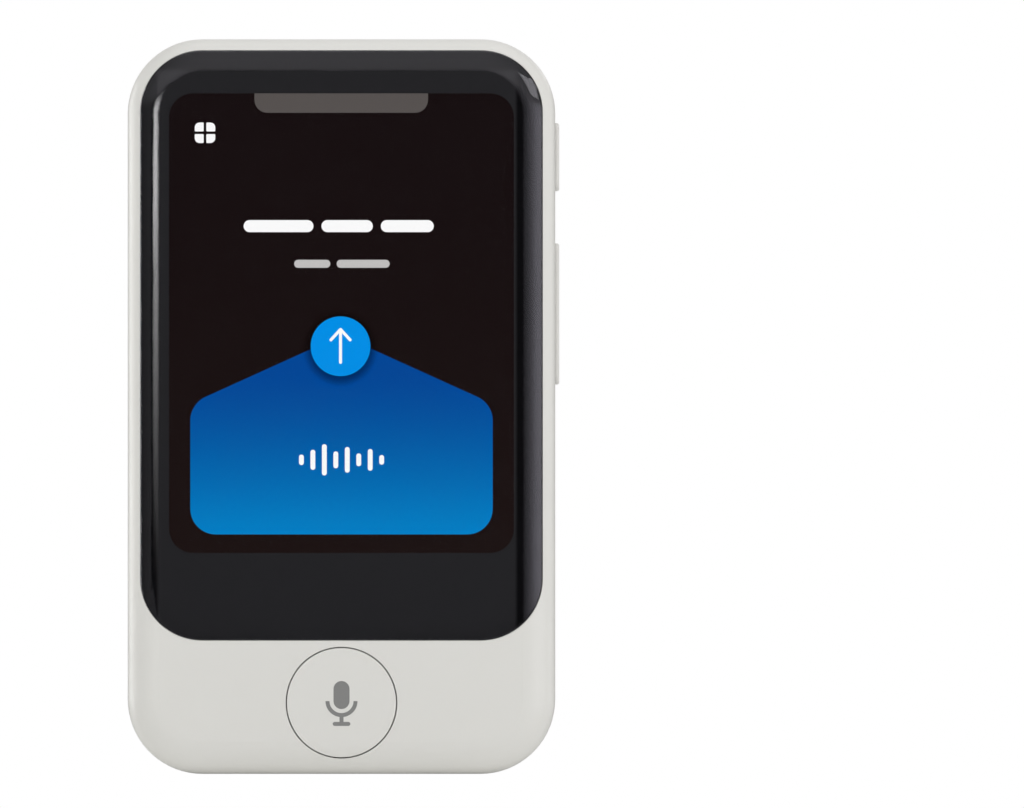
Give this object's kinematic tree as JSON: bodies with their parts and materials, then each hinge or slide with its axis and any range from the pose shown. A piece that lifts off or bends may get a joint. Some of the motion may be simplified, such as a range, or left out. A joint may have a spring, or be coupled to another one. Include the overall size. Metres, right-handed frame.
{
  "type": "handheld voice translator",
  "caption": "Pocket voice translator: pebble-shaped handset with a portrait touch display, a round talk key in the chin, side keys, a rear camera with flash and a USB-C port.",
  "frame": {"origin": "centre of the body's thickness and width at its bottom end", "axes": "+Z from the bottom end to the top end, +X to the user's right when they look at the display, -Y out of the display, +Y out of the back"},
  "size_m": [0.0538, 0.0116, 0.0916],
  "materials": {
    "rear_shell": "fine satin",
    "front_shell": "fine satin",
    "talk_cap": "fine satin",
    "talk_light": "satin, translucent grey",
    "side_keys": "fine satin",
    "tray": "satin paint",
    "glass": "polished",
    "glass_adhesive": "matt foam",
    "touch_film": "polished",
    "display": "polished",
    "backlight": "matt white",
    "chassis": "brushed",
    "screws": "satin",
    "switches": "satin",
    "stem": "matt",
    "lamps": "satin",
    "board": "solder mask",
    "flat_cable": "polyimide film",
    "bracket": "satin",
    "socket": "satin",
    "shield": "satin",
    "chip": "matt",
    "cell": "laminated foil",
    "cell_tape": "matt",
    "connector": "matt",
    "lead": "satin",
    "window": "polished",
    "gasket": "matt foam",
    "camera": "matt black",
    "optic": "coated",
    "flash": "clear, fine rings",
    "flash_lamp": "matt phosphor",
    "sound_box": "matt",
    "driver": "satin",
    "mesh": "woven black",
    "microphone": "satin",
    "boot": "matt",
    "port_shell": "satin",
    "port_tongue": "matt",
    "contacts": "gold plated",
    "aerial": "copper film"
  },
  "bodies": {
    "body": {"aerial_cellular": "aerial", "aerial_springs": "contacts", "aerial_wifi": "aerial", "battery": "cell", "battery_connector": "connector", "battery_lead": "lead", "battery_tape": "cell_tape", "board_screws": "screws", "camera_gasket": "gasket", "camera_lens": "optic", "camera_module": "camera", "camera_tape": "glass_adhesive", "camera_window": "window", "chassis_plate": "chassis", "chassis_screws": "screws", "cover_glass": "glass", "display_flex": "flat_cable", "flash_led": "flash_lamp", "flash_lens": "flash", "front_frame": "front_shell", "glass_tape": "glass_adhesive", "key_board": "board", "key_board_flex": "flat_cable", "lcd_backlight": "backlight", "lcd_panel": "display", "link_flex": "flat_cable", "main_board": "board", "memory_chip": "chip", "mic_boots": "boot", "microphones": "microphone", "processor_chip": "chip", "radio_chip": "chip", "rear_cover": "rear_shell", "shield_processor": "shield", "shield_radio": "shield", "side_key_bracket": "bracket", "side_key_flex": "flat_cable", "side_key_switches": "switches", "sim_socket": "socket", "speaker_box_left": "sound_box", "speaker_box_right": "sound_box", "speaker_driver_left": "driver", "speaker_driver_right": "driver", "speaker_mesh_left": "mesh", "speaker_mesh_right": "mesh", "sub_board": "board", "talk_key_leds": "lamps", "talk_switch": "switches", "touch_panel": "touch_film", "usb_contacts": "contacts", "usb_shell": "port_shell", "usb_tongue": "port_tongue"},
    "talk_key": {"talk_key_cap": "talk_cap", "talk_key_lens": "talk_light", "talk_switch_stem": "stem"},
    "power_key": {"power_key": "side_keys"},
    "volume_key": {"volume_key": "side_keys"},
    "sim_tray": {"sim_tray": "tray"},
    "eject_rod": {"sim_eject_rod": "socket"}
  },
  "joints": [
    {"name": "talk_key_press", "type": "slide", "parent": "body", "child": "talk_key", "axis": [0, 1, 0], "range_m": [0, 0.00035], "stiffness_N_per_m": 1500},
    {"name": "power_key_press", "type": "slide", "parent": "body", "child": "power_key", "axis": [-1, 0, 0], "range_m": [0, 0.00025], "stiffness_N_per_m": 1500},
    {"name": "volume_key_rock", "type": "hinge", "parent": "body", "child": "volume_key", "pos_m": [0.02457, -0.00025, 0.05735], "axis": [0, 1, 0], "range_deg": [-2.2, 2.2], "stiffness_Nm_per_rad": 0.2},
    {"name": "sim_tray_slide", "type": "slide", "parent": "body", "child": "sim_tray", "axis": [-1, 0, 0], "range_m": [0, 0.013]},
    {"name": "eject_rod_push", "type": "slide", "parent": "body", "child": "eject_rod", "axis": [1, 0, 0], "range_m": [0, 0.001]}
  ]
}
